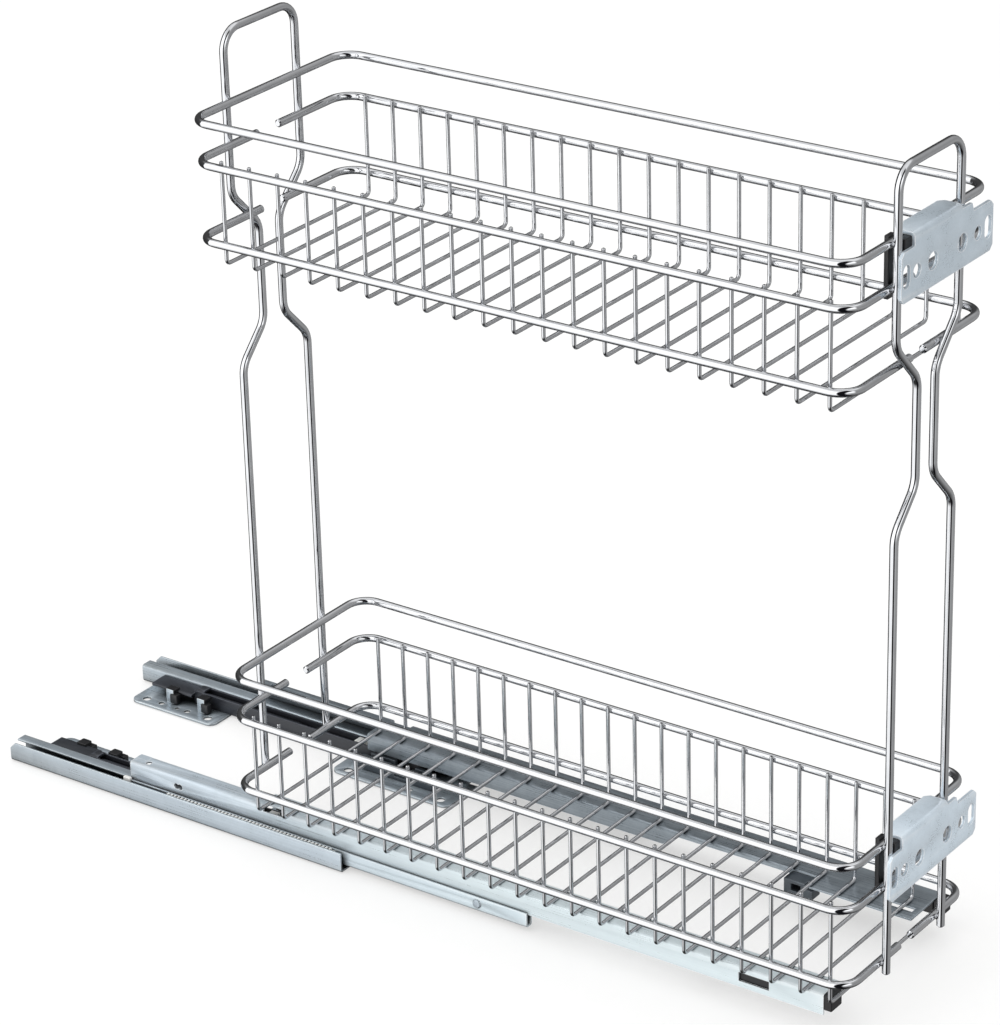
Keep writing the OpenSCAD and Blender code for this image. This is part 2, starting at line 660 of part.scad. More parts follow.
// outline of a floor plate with its two free corners rounded
module plate_outline(l, w) {
  r = plate_r;
  translate([0, r - w]) square([l, w - r]);
  translate([r, -w]) square([l - 2 * r, r + 1]);
  for (x = [r, l - r]) translate([x, r - w]) circle(r = r);
}

// Rear floor plate: row of fixing holes and two bent-up tabs, hooked at the top
module rear_plate() {
  l = rear_plate_len;
  difference() {
    translate([rear_plate_x, plate_in, 0]) linear_extrude(plate_t) plate_outline(l, rear_plate_w);
    for (h = [[0.13, fix_d], [0.31, mid_fix_d], [0.5, small_fix_d], [0.62, mid_fix_d], [0.87, fix_d]])
      translate([rear_plate_x + h[0] * l, fix_y, -1]) cylinder(d = h[1], h = plate_t + 2);
  }
  for (x = tabs) translate([rear_plate_x + x, tab_y, plate_t]) {
    cube([tab_w, plate_t, tab_h]);
    translate([0, 0, tab_h]) cube([tab_w, plate_t + hook, plate_t]);
  }
}
module near_rear_plate() color(zinc) side(-1) rear_plate();
module far_rear_plate() color(zinc) side(1) rear_plate();

// Clips pushed over the tabs' front edges
module plate_clips() {
  for (x = tabs) translate([rear_plate_x + x + tab_w - 2, tab_y - 1.4, plate_t + 1]) difference() {
    cube([6, plate_t + 2.8, tab_h - 2]);
    translate([-1, 1.4 - weld, -1]) cube([3 + weld, plate_t + 2 * weld, tab_h + 2]);
  }
}
module near_plate_clips() color(black) side(-1) plate_clips();
module far_plate_clips() color(black) side(1) plate_clips();

// Front floor plate
module front_plate() {
  difference() {
    translate([front_plate_x, plate_in, 0]) linear_extrude(plate_t) plate_outline(front_plate_len, front_plate_w);
    for (i = [0 : 3])
      translate([front_plate_x + 10 + i * (front_plate_len - 20) / 3, plate_in - front_plate_w + 6.5, -1])
        cylinder(d = i % 3 == 0 ? fix_d : mid_fix_d, h = plate_t + 2);
  }
}
module near_front_plate() color(zinc) side(-1) front_plate();
module far_front_plate() color(zinc) side(1) front_plate();

// Guide block on the front plate, with a lead-in groove
module guide_block() {
  translate([front_plate_x + 12, housing_out - housing_w - 13, plate_t + weld]) difference() {
    union() {
      cube([62, 9.5, 6]);
      translate([8, 0, 0]) cube([20, 9.5, 10]);
      translate([44, 2, 0]) cube([12, 7.5, 9]);
    }
    translate([-1, 3, 3]) cube([64, 3.5, 10]);
    translate([32, -1, 2.5]) cube([8, 12, 10]);
  }
}
module near_guide_block() color(grey) side(-1) guide_block();
module far_guide_block() color(grey) side(1) guide_block();

// Damper housing: open-topped trough with closed ends and a strap across it,
// and behind them a flat cover that stands on a rib beside the cabinet rail
module damper_housing() {
  t = housing_t;
  l = housing_len - cover_len;
  w = housing_w;
  translate([housing_x + cover_len, housing_out - w, plate_t + weld]) {
    difference() {
      cube([l, w, housing_h]);
      translate([t, t, t]) cube([l - 2 * t, w - 2 * t, housing_h]);
    }
    translate([2, 0, housing_h]) rotate([90, 0, 90]) linear_extrude(tab_w)
      polygon([[0, -0.5], [w, -0.5], [w, 0.3], [w - 2, 1.2], [2, 1.2], [0, 0.3]]);
  }
  translate([housing_x, 0, plate_t + weld]) rotate([90, 0, 90]) linear_extrude(cover_len + t / 2) {
    translate([housing_out - t, 0]) square([t, tab_h - 0.2]);
    translate([housing_out - cover_w + cover_t / 2, tab_h - 0.1 - cover_t])
      square([cover_w - cover_t / 2, cover_t]);
    translate([housing_out - cover_w + cover_t / 2, tab_h - 0.1 - cover_t / 2]) circle(d = cover_t);
  }
}
module near_damper_housing() color(dark) side(-1) damper_housing();
module far_damper_housing() color(dark) side(1) damper_housing();

// Damper cylinder with the bore that its rod runs in
module damper_cylinder() {
  translate([damper_x, damper_y, damper_z]) rotate([0, 90, 0]) difference() {
    cylinder(d = damper_d, h = damper_len);
    translate([0, 0, damper_len - stroke - 14]) cylinder(d = rod_d + 0.16, h = stroke + 15);
  }
}
module near_damper_cylinder() color(dark) side(-1) damper_cylinder();
module far_damper_cylinder() color(dark) side(1) damper_cylinder();

// Damper rod, from inside its cylinder to the trigger
module damper_rod() {
  translate([damper_end - 8, damper_y, damper_z]) rotate([0, 90, 0])
    cylinder(d = rod_d, h = trigger_x - damper_end + 8 - weld);
}
module near_damper_rod() color(chrome) side(-1) damper_rod();
module far_damper_rod() color(chrome) side(1) damper_rod();

// Trigger: fork that catches the drawer rail over the last of the travel
module trigger() {
  w = housing_w - 2 * housing_t - 2 * run;
  translate([trigger_x, damper_y - w / 2, plate_t + weld + housing_t + run]) difference() {
    cube([trigger_len, w, housing_h - housing_t]);
    translate([trigger_len / 2 - 3, -1, housing_h - housing_t - 4]) cube([6, w + 2, 5]);
  }
}
module near_trigger() color(white) side(-1) trigger();
module far_trigger() color(white) side(1) trigger();

upper_top_rail();
upper_near_middle_rail();
upper_far_middle_rail();
upper_near_lower_rail();
upper_far_lower_rail();
upper_cross_wires();
lower_top_rail();
lower_near_middle_rail();
lower_far_middle_rail();
lower_near_lower_rail();
lower_far_lower_rail();
lower_cross_wires();
rear_frame();
front_frame();
upper_door_bracket();
lower_door_bracket();
upper_bracket_clips();
lower_bracket_clips();
near_cabinet_rail();
far_cabinet_rail();
near_middle_rail();
far_middle_rail();
near_rivet();
far_rivet();
near_drawer_rail();
far_drawer_rail();
near_end_plug();
far_end_plug();
near_stop_block();
far_stop_block();
near_rail_bumper();
far_rail_bumper();
near_outer_cage();
far_outer_cage();
near_pins();
far_pins();
near_inner_cage();
far_inner_cage();
near_rollers();
far_rollers();
near_rear_plate();
far_rear_plate();
near_front_plate();
far_front_plate();
near_plate_clips();
far_plate_clips();
near_guide_block();
far_guide_block();
near_damper_housing();
far_damper_housing();
near_damper_cylinder();
far_damper_cylinder();
near_damper_rod();
far_damper_rod();
near_trigger();
far_trigger();
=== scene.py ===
# %% [markdown]
# # A two-tier wire basket on telescopic slides
#
# This lesson dresses a finished engineering model in Blender. The model is a
# pull-out basket for a narrow kitchen cabinet: two chromed wire baskets hang
# between two bent wire frames, and a pair of zinc-plated slides carries them.
# The engineering solids already have the right sizes, so the work here is what
# makes them look real: smooth round wire, weld beads, softened sheet edges,
# plated and moulded finishes, and light that shows chrome as chrome.

# %% Load the frame
import json
import math
import bpy
import bmesh
import numpy as np
from mathutils import Matrix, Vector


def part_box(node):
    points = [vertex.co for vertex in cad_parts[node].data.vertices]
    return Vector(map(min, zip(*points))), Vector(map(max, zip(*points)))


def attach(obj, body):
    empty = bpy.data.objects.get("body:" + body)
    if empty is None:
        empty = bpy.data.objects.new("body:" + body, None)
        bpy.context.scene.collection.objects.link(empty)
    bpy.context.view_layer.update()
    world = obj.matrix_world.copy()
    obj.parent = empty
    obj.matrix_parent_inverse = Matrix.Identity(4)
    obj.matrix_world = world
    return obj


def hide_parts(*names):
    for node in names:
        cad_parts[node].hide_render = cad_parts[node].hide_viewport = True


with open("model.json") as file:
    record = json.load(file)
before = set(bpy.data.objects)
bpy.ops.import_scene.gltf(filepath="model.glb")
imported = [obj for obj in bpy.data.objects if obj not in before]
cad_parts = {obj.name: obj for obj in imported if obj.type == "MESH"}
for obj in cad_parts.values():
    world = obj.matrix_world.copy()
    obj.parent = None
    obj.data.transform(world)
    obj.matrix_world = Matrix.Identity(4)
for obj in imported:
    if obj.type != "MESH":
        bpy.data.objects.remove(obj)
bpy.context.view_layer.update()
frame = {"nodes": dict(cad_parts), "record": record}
MM = 0.001

# %% [markdown]
# ## The camera
#
# A product picture of this kind is taken from far away with a long lens, so that
# upright wires stay nearly parallel. The camera stands ahead of the unit and to
# the near side, and looks down at it by about 25 degrees. A Track To constraint
# would aim it, but a matrix worked out from three angles is exact and also gives
# the small roll of a hand-set tripod.

# %% Place the camera
def camera_matrix(place, azimuth, elevation, roll):
    """Columns are right, up and back. Forward is the azimuth turned from +Y
    towards -X and tipped down by the elevation; the roll turns right and up
    about it."""
    a, e, r = (math.radians(v) for v in (azimuth, elevation, roll))
    forward = np.array([-math.sin(a) * math.cos(e), math.cos(a) * math.cos(e), -math.sin(e)])
    right = np.array([math.cos(a), math.sin(a), 0.0])
    up = np.cross(right, forward)
    right, up = (math.cos(r) * right + math.sin(r) * up,
                 math.cos(r) * up - math.sin(r) * right)
    columns = np.column_stack([right, up, -forward, place])
    return Matrix([list(row) for row in columns] + [[0, 0, 0, 1]])


LENS_MM, SENSOR_MM, FARTHEST_M = 142.44, 36.0, 50.0
CAMERA_PLACE = [1.30214, -1.75429, 1.24316]
AZIMUTH, ELEVATION, ROLL = 35.973, 24.789, -1.562
lens = bpy.data.cameras.new("product_lens")
lens.lens = LENS_MM
lens.sensor_width = SENSOR_MM
lens.sensor_fit = "HORIZONTAL"
lens.clip_end = FARTHEST_M
camera = bpy.data.objects.new("product_camera", lens)
camera.matrix_world = camera_matrix(CAMERA_PLACE, AZIMUTH, ELEVATION, ROLL)
bpy.context.scene.collection.objects.link(camera)
bpy.context.scene.camera = camera
print("camera stands", round(camera.location.length, 2), "m from the origin")

# %% [markdown]
# ## Wire as a swept circle
#
# Every wire here is a round bar bent in one plane. A curve object with a bevel
# would draw it, but a mesh swept in numpy gives full control of the rings: a few
# in each bend, none wasted on the straights, and ends closed the way a cropped
# wire looks. A path is first given as corner points with a bend radius at each.

# %% Bend a path
def bent(corners, radii, steps=7):
    """Corner points joined by straights, each inner corner replaced by an arc
    that touches both straights: it starts r * tan(w / 2) before the corner,
    where w is the turn, and is cut into equal angles."""
    corners = np.asarray(corners, float)
    out = [corners[:1]]
    for i in range(1, len(corners) - 1):
        u = corners[i] - corners[i - 1]
        v = corners[i + 1] - corners[i]
        u, v = u / np.linalg.norm(u), v / np.linalg.norm(v)
        w = math.acos(float(np.clip(u @ v, -1, 1)))
        inward = (v - u) / np.linalg.norm(v - u)
        middle = corners[i] + inward * radii[i] / math.cos(w / 2)
        t = np.linspace(-w / 2, w / 2, steps)[:, None]
        along = (u + v) / np.linalg.norm(u + v)
        out.append(middle - inward * radii[i] * np.cos(t) + along * radii[i] * np.sin(t))
    return np.concatenate(out + [corners[-1:]])


def tube(path, radius, normal, sides=20, closed=False, crop=0.8):
    """Rings of radius r round the path: point = path + r (cos a N + sin a T x N),
    with N the fixed normal of the wire's plane and T the direction along it.
    An open wire ends in a chamfer of `crop` and a flat face."""
    path = np.asarray(path, float)
    normal = np.asarray(normal, float)
    if closed:
        tangent = np.roll(path, -1, 0) - np.roll(path, 1, 0)
        scale = np.ones(len(path))
    else:
        a, b = path[0] - path[1], path[-1] - path[-2]
        a, b = a / np.linalg.norm(a), b / np.linalg.norm(b)
        path = np.concatenate([[path[0]], [path[0]], [path[0] - a * crop], path[1:-1],
                               [path[-1] - b * crop], [path[-1]], [path[-1]]])
        inner = 1 - crop / radius
        scale = np.concatenate([[0.001, inner, 1], np.ones(len(path) - 6), [1, inner, 0.001]])
        tangent = np.gradient(path, axis=0)
        tangent[:3], tangent[-3:] = -a, b
        path[0] += a * 1e-6
        path[-1] += b * 1e-6
    tangent /= np.linalg.norm(tangent, axis=1)[:, None]
    side = np.cross(tangent, normal)
    angle = np.linspace(0, 2 * np.pi, sides, endpoint=False)
    ring = (np.cos(angle)[None, :, None] * normal + np.sin(angle)[None, :, None] * side[:, None, :])
    points = path[:, None, :] + ring * (radius * scale)[:, None, None]
    rows = len(path)
    i = np.arange(rows if closed else rows - 1)[:, None]
    j = np.arange(sides)[None, :]
    i2, j2 = (i + 1) % rows, (j + 1) % sides
    quads = np.stack([i * sides + j, i * sides + j2, i2 * sides + j2, i2 * sides + j], -1)
    return points.reshape(-1, 3), quads.reshape(-1, 4)


def joined(parts):
    """One vertex array and one face array from several, with the face numbers
    of each moved past the vertices of those before it."""
    start = np.cumsum([0] + [len(p) for p, _ in parts[:-1]])
    faces = [q + s for (_, q), s in zip(parts, start)]
    return np.concatenate([p for p, _ in parts]), np.concatenate(faces)


def piece(name, shape, body, sharp=40):
    """A mesh object at the origin whose vertices, in millimetres, hold its
    place. Its normals are turned outwards and edges over `sharp` degrees stay
    crisp."""
    points, quads = shape
    mesh = bpy.data.meshes.new(name)
    mesh.from_pydata((points * MM).tolist(), [], quads.tolist())
    work = bmesh.new()
    work.from_mesh(mesh)
    bmesh.ops.recalc_face_normals(work, faces=work.faces)
    work.to_mesh(mesh)
    work.free()
    mesh.shade_smooth()
    mesh.set_sharp_from_angle(angle=math.radians(sharp))
    obj = bpy.data.objects.new(name, mesh)
    bpy.context.scene.collection.objects.link(obj)
    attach(obj, body)
    return obj


print("swept wire is ready")

# %% [markdown]
# ## The rails of the baskets
#
# Each basket has three levels of 5 mm wire. The top rail is a closed loop. The
# middle and lower rails are bent as two halves with open ends, because the frame
# legs bridge the gap. The engineering boxes give the outer size of each, so the
# wire's centre lies half a diameter inside.

# %% Rails
# Radius of the thick wire, of the thin wire and of a basket's corners
RAIL_R, CROSS_R, CORNER = 2.5, 1.25, 14.0
RAIL_SIDES = 28
# Side, and distances of the rear and the front open end from the middle line
OPEN_ENDS = {"near": (-1, 12.0, 9.0), "far": (1, 7.0, 4.0)}


def box_mm(node):
    """Lowest and highest corner of an engineering node in millimetres."""
    return [np.array(c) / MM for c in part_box(node)]


def loop_rail(node):
    """A rectangle with round corners, run as a closed path at one height."""
    lo, hi = box_mm(node)
    z = (lo[2] + hi[2]) / 2
    x0, y0, x1, y1 = lo[0] + RAIL_R, lo[1] + RAIL_R, hi[0] - RAIL_R, hi[1] - RAIL_R
    m = (x0 + x1) / 2
    path = bent([[m, y0, z], [x1, y0, z], [x1, y1, z], [x0, y1, z], [x0, y0, z], [m, y0, z]],
                [0, CORNER, CORNER, CORNER, CORNER, 0], steps=12)[:-1]
    return tube(path, RAIL_R, [0, 0, 1], sides=RAIL_SIDES, closed=True)


def half_rail(node, side, rear_end, front_end, middle_y):
    """Three sides of that rectangle; the two short sides stop at the given
    distances from the basket's middle line."""
    lo, hi = box_mm(node)
    z = (lo[2] + hi[2]) / 2
    x0, x1 = lo[0] + RAIL_R, hi[0] - RAIL_R
    y = lo[1] + RAIL_R if side < 0 else hi[1] - RAIL_R
    path = bent([[x0, middle_y + side * rear_end, z], [x0, y, z], [x1, y, z],
                 [x1, middle_y + side * front_end, z]], [0, CORNER, CORNER, 0], steps=12)
    return tube(path, RAIL_R, [0, 0, 1], sides=RAIL_SIDES)


lo, hi = box_mm("upper_top_rail")
BASKET_Y = (lo[1] + hi[1]) / 2
BASKET_X0, BASKET_X1 = lo[0] + RAIL_R, hi[0] - RAIL_R
chrome_pieces = []
for tier in ("upper", "lower"):
    made = piece(tier + "_rim", loop_rail(tier + "_top_rail"), "carriage")
    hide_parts(tier + "_top_rail")
    chrome_pieces.append(made)
    for level in ("middle", "lower"):
        for name, (side, rear_end, front_end) in OPEN_ENDS.items():
            node = f"{tier}_{name}_{level}_rail"
            shape = half_rail(node, side, rear_end, front_end, BASKET_Y)
            made = piece(f"{tier}_{name}_{level}_bar", shape, "carriage")
            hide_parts(node)
            chrome_pieces.append(made)
print(len(chrome_pieces), "rails")

# %% [markdown]
# ## The cross wires
#
# Each cross wire is one U of 2.5 mm wire. Its legs stand inside the middle and
# lower rails and end just above the middle one. The row is evenly pitched, so
# the first and last wire and the count fix all of them.

# %% Cross wires
WIRE_COUNT = {"upper": 21, "lower": 22}
WIRE_BEND = 3


def wire_row(node, count):
    """U-shaped wires at even steps along the basket. Returns the shape and the
    x of every wire."""
    lo, hi = box_mm(node)
    xs = np.linspace(lo[0] + CROSS_R, hi[0] - CROSS_R, count)
    y0, y1, z0, z1 = lo[1] + CROSS_R, hi[1] - CROSS_R, lo[2] + CROSS_R, hi[2]
    u = bent([[0, y0, z1], [0, y0, z0], [0, y1, z0], [0, y1, z1]], [0, WIRE_BEND, WIRE_BEND, 0],
             steps=6)
    one = tube(u, CROSS_R, [1, 0, 0], sides=14, crop=0.5)
    return joined([(one[0] + [x, 0, 0], one[1]) for x in xs]), xs


WIRES = {}
for tier, count in WIRE_COUNT.items():
    shape, WIRES[tier] = wire_row(tier + "_cross_wires", count)
    made = piece(tier + "_wire_row", shape, "carriage")
    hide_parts(tier + "_cross_wires")
    chrome_pieces.append(made)
    print(tier, "row:", count, "wires,", len(shape[1]), "faces")

# %% [markdown]
# ## The hairpin frames
#
# One 5 mm wire rises in two legs, draws in to a narrow neck between the baskets
# and closes in a crown above the upper one. It is modelled as one path from foot
# to foot, so that its bends run smoothly into each other.

# %% Frames
# Half widths at the upper basket, the lower basket and the neck
UPPER_LEG, LOWER_LEG, NECK = 33.8, 31.8, 9.8
# Heights of the middles of the two slopes, and their angle to the upright
LOWER_SLOPE_Z, UPPER_SLOPE_Z, SLOPE_ANGLE = 326.5, 414.0, 44
SLOPE_BEND, CROWN_BEND = 16, 13.5


def hairpin(node):
    """Foot, lower slope, neck, upper slope and crown, mirrored about the
    basket's middle. A slope's half height is half its shift over the tangent of
    its angle."""
    lo, hi = box_mm(node)
    x = (lo[0] + hi[0]) / 2
    crown, foot = hi[2] - RAIL_R, lo[2]
    steep = 2 * math.tan(math.radians(SLOPE_ANGLE))
    rise, fall = (UPPER_LEG - NECK) / steep, (LOWER_LEG - NECK) / steep
    half = [[LOWER_LEG, foot], [LOWER_LEG, LOWER_SLOPE_Z - fall], [NECK, LOWER_SLOPE_Z + fall],
            [NECK, UPPER_SLOPE_Z - rise], [UPPER_LEG, UPPER_SLOPE_Z + rise], [UPPER_LEG, crown]]
    turn = [0, SLOPE_BEND, SLOPE_BEND, SLOPE_BEND, SLOPE_BEND, CROWN_BEND]
    up = [[x, BASKET_Y + y, z] for y, z in half]
    down = [[x, BASKET_Y - y, z] for y, z in half[::-1]]
    path = bent(up + down, turn + turn[::-1], steps=10)
    return tube(path, RAIL_R, [1, 0, 0], sides=RAIL_SIDES)


for end in ("rear", "front"):
    made = piece(end + "_hairpin", hairpin(end + "_frame"), "carriage")
    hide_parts(end + "_frame")
    chrome_pieces.append(made)
print("two frames")

# %% [markdown]
# ## Weld beads
#
# Spot welding presses the thin wire a little into the thick one and leaves a
# small swollen seat on both sides. It is what tells a welded basket from a
# drawing of one. Each bead is a low-count ellipsoid, because there are hundreds.

# %% Beads
def bead(size, turns=10, rows=7):
    """Ellipsoid: point = (a cos u sin v, b sin u sin v, c cos v)."""
    u = np.linspace(0, 2 * np.pi, turns, endpoint=False)[None, :]
    v = np.linspace(0.02, np.pi - 0.02, rows)[:, None]
    points = np.stack([size[0] * np.cos(u) * np.sin(v), size[1] * np.sin(u) * np.sin(v),
                       size[2] * np.cos(v) * np.ones_like(u)], -1).reshape(-1, 3)
    i, j = np.arange(rows - 1)[:, None], np.arange(turns)[None, :]
    j2 = (j + 1) % turns
    faces = np.stack([i * turns + j, (i + 1) * turns + j, (i + 1) * turns + j2, i * turns + j2], -1)
    return points, faces.reshape(-1, 4)


def beads_at(places, size):
    """The same bead copied to every place."""
    points, faces = bead(size)
    return joined([(points + p, faces) for p in places])


def rail_z(node):
    """Height of a rail's centre line."""
    lo, hi = box_mm(node)
    return (lo[2] + hi[2]) / 2


WIRE_BEAD, LEG_BEAD = (1.9, 0.8, 1.6), (0.9, 1.9, 1.9)
# How far the wire beads' middles lie outside the cross wires
BEAD_OUT = 0.1
# Half distance between the beads of a frame's two legs
LEG_SEAT = {"upper": 33.0, "lower": 31.55}
for tier in ("upper", "lower"):
    lo, hi = box_mm(tier + "_cross_wires")
    seats = [[x, y, rail_z(f"{tier}_near_{level}_rail")] for x in WIRES[tier]
             for y in (lo[1] - BEAD_OUT, hi[1] + BEAD_OUT) for level in ("middle", "lower")]
    rails = ["top_rail", "near_middle_rail"] + (["near_lower_rail"] if tier == "lower" else [])
    legs = [[x + s * RAIL_R, BASKET_Y + y * LEG_SEAT[tier], rail_z(f"{tier}_{rail}")]
            for x, s in ((BASKET_X0, -1), (BASKET_X1, 1)) for y in (-1, 1) for rail in rails]
    shape = joined([beads_at(np.array(seats), WIRE_BEAD), beads_at(np.array(legs), LEG_BEAD)])
    made = piece(tier + "_weld_beads", shape, "carriage", sharp=180)
    chrome_pieces.append(made)
    print(tier, "beads:", len(seats) + len(legs))

# %% [markdown]
# ## Sheet and moulded pieces
#
# The slides, plates, brackets and mouldings already have their true outline, but
# their edges are knife sharp, and a real edge always shows a thin line of light.
# A Bevel modifier on a merged copy gives it. The copy takes the node's place, so
# the engineering mesh stays untouched.

# %% Soften edges
def softened(node, width, segments=2, angle=28):
    """A merged copy of an engineering node with all its corners rounded by
    `width` millimetres."""
    source = frame["nodes"][node]
    mesh = source.data.copy()
    work = bmesh.new()
    work.from_mesh(mesh)
    bmesh.ops.remove_doubles(work, verts=work.verts, dist=1e-6)
    bmesh.ops.dissolve_limit(work, angle_limit=math.radians(0.5), verts=work.verts,
                             edges=work.edges)
    work.to_mesh(mesh)
    work.free()
    mesh.shade_smooth()
    obj = bpy.data.objects.new(node + "_finished", mesh)
    bpy.context.scene.collection.objects.link(obj)
    bevel = obj.modifiers.new("soft_edge", "BEVEL")
    bevel.width = width * MM
    bevel.segments = segments
    bevel.limit_method = "ANGLE"
    bevel.angle_limit = math.radians(angle)
    bevel.harden_normals = True
    bevel.use_clamp_overlap = True
    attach(obj, next(b for b, names in BODY_NODES.items() if node in names))
    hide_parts(node)
    return obj


BODY_NODES = frame["record"]["behaviour"]["bodies"]
SLOT_OF = {s["node"]: s["material_slot"] for s in frame["record"]["subparts"]}
EDGE = {"door_bracket": 0.35, "cabinet_rail": 0.3, "drawer_rail": 0.3, "middle_rail": 0.3,
        "rear_plate": 0.3, "front_plate": 0.3, "rivet": 0.25, "bracket_clips": 0.5,
        "stop_block": 0.4, "rail_bumper": 0.4, "outer_cage": 0.15, "inner_cage": 0.15,
        "plate_clips": 0.5, "guide_block": 0.5, "damper_housing": 0.4, "damper_cylinder": 0.5,
        "trigger": 0.4, "rollers": 0.2, "pins": 0.1, "damper_rod": 0.2}
finished = {}
for node in sorted(SLOT_OF):
    kind = node.split("_", 1)[1]
    if kind in EDGE and SLOT_OF[node] != "chrome_wire":
        finished[node] = softened(node, EDGE[kind])
print(len(finished), "softened pieces")

# %% [markdown]
# ## Holes and clips of the door brackets
#
# Each door bracket has a row of six screw holes, and two dark clips hold it on
# the wires. The holes are a quarter wider than in the engineering model, and the
# clips sit closer to the near leg. New pieces could show that, but moving a few
# points of the softened copies keeps their rounded edges. A hole's rim is every
# point within reach of its middle, spread about it.

# %% Widen the holes and move the clips
# Distances of the holes from the bracket's middle, and reach of each in Y and Z
HOLE_SIDE = (16.1, 33.2, 44.4)
HOLE_REACH = ((4.6, 4.6), (3.7, 3.7), (3.4, 5.9))
# Height of the row over the lower edge, depth behind the face, growth of a hole
HOLE_ROW, FACE_DEPTH, HOLE_GROWTH = 14.75, 2.1, 0.25
CLIP_SHIFT = 3.8


def points_of(mesh):
    """The mesh's vertices in metres, one row each."""
    flat = np.empty(len(mesh.vertices) * 3)
    mesh.vertices.foreach_get("co", flat)
    return flat.reshape(-1, 3)


def put_points(mesh, points):
    """Write the rows back into the mesh."""
    mesh.vertices.foreach_set("co", points.ravel())
    mesh.update()


for tier in ("upper", "lower"):
    mesh = finished[tier + "_door_bracket"].data
    lo, hi = box_mm(tier + "_door_bracket")
    points = points_of(mesh) / MM
    for side in (-1, 1):
        for place, reach in zip(HOLE_SIDE, HOLE_REACH):
            away = points[:, 1:] - [(lo[1] + hi[1]) / 2 + side * place, lo[2] + HOLE_ROW]
            rim = (np.abs(away) < reach).all(axis=1) & (points[:, 0] > hi[0] - FACE_DEPTH)
            points[rim, 1:] += HOLE_GROWTH * away[rim]
    put_points(mesh, points * MM)
    mesh = finished[tier + "_bracket_clips"].data
    points = points_of(mesh)
    points[points[:, 0] < (BASKET_X1 - RAIL_R) * MM, 1] += CLIP_SHIFT * MM
    put_points(mesh, points)
print("holes widened by", HOLE_GROWTH, "and clips moved by", CLIP_SHIFT, "mm")

# %% [markdown]
# ## Small mouldings
#
# Some mouldings show more than their engineering stand-in does. The comb between
# the cabinet rail and the middle rail has a row of fine teeth over a black strip
# that is painted shade in the gap, each rear tab wears a black cap, the drawer
# rails end in a short plug whose long tongue closes the window in the wall, a
# white nub ends each middle rail, and a black block fills the notch of each door
# bracket. One corner of the near drawer rail is sheet, and is filled the same
# way. All are boxes with rounded edges, so one function makes them.

# %% Rounded boxes
def blocks(name, boxes, body, material_slot, soft):
    """Boxes given by their two corners in millimetres, as one piece with every
    edge rounded by `soft`."""
    corner = np.array([[x, y, z] for x in (0, 1) for y in (0, 1) for z in (0, 1)], float)
    side = np.array([[0, 1, 3, 2], [4, 6, 7, 5], [0, 4, 5, 1],
                     [2, 3, 7, 6], [0, 2, 6, 4], [1, 5, 7, 3]])
    lows, highs = (np.array([b[k] for b in boxes], float) for k in (0, 1))
    points = lows[:, None, :] + corner[None] * (highs - lows)[:, None, :]
    faces = side[None] + 8 * np.arange(len(boxes))[:, None, None]
    obj = piece(name, (points.reshape(-1, 3), faces.reshape(-1, 4)), body)
    MOULDED_SLOT[name] = material_slot
    bevel = obj.modifiers.new("soft_edge", "BEVEL")
    bevel.width = soft * MM
    bevel.segments = 2
    bevel.limit_method = "ANGLE"
    bevel.harden_normals = True
    return obj


def slide_side(name):
    """+1 for the far slide and -1 for the near one."""
    return 1 if name == "far" else -1


def across(name, inner, outer):
    """Two side distances from the middle of the slides, as low and high Y."""
    middle = (box_mm("near_cabinet_rail")[0][1] + box_mm("far_cabinet_rail")[1][1]) / 2
    return sorted([middle + slide_side(name) * inner, middle + slide_side(name) * outer])


def bar(x0, x1, sides, heights):
    """A box as its two corners, from its ends along X, its sides and heights."""
    return (x0, sides[0], heights[0]), (x1, sides[1], heights[1])


moulded, MOULDED_SLOT = [], {}
print("rounded boxes are ready")

# %% Combs, caps, plugs and nubs
# Of each moulding: its side distances from the slides' middle, and its heights
TEETH_SIDE, TEETH_Z, SHADE_STRIP_Z = (72.3, 74.5), (11.3, 13.4), (10.7, 11.25)
CAP_SIDE, CAP_Z = (42.6, 49.2), (8.4, 11.7)
TONGUE_SIDE, TONGUE_Z = (58.5, 68.5), (14.9, 23.9)
PLUG_SIDE, PLUG_Z = (58.0, 69.9), (14.8, 24.9)
NUB_SIDE, NUB_Z = (70.3, 73.0), (10.4, 14.6)
